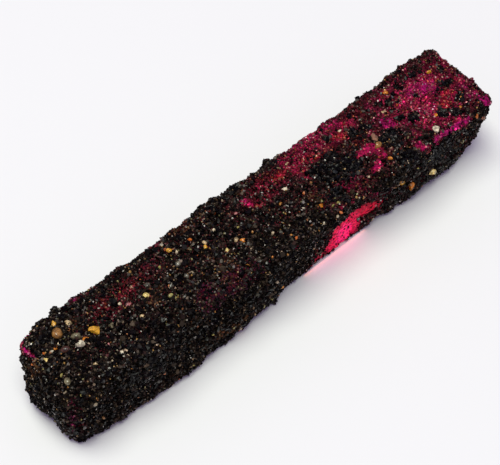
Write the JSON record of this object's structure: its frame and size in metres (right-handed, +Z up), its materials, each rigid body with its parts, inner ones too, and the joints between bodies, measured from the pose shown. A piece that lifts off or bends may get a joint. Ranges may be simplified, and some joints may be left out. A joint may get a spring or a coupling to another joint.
{
  "type": "rough ruby bar in a sand crust",
  "caption": "Long square-sectioned bar of rough ruby, coated in cemented dark sand, with bare crimson stone showing where the crust is worn or chipped.",
  "frame": {"origin": "under the middle of the bar's box, on the surface that it rests on", "axes": "+X along the bar from its near end to its far end, +Z up, -Y out of its front"},
  "size_m": [0.1116, 0.0216, 0.0202],
  "materials": {
    "crusted_ruby": "gritty near-black sand crust with deep crimson ruby where it is worn through",
    "dark_sand": "charcoal and blue-black sand grains, dull with small glints",
    "brown_sand": "olive, rust and brown sand grains, dull",
    "pale_sand": "cream, gold and white quartz grains, waxy"
  },
  "bodies": {
    "root": {"ruby_bar": "crusted_ruby"}
  },
  "joints": []
}
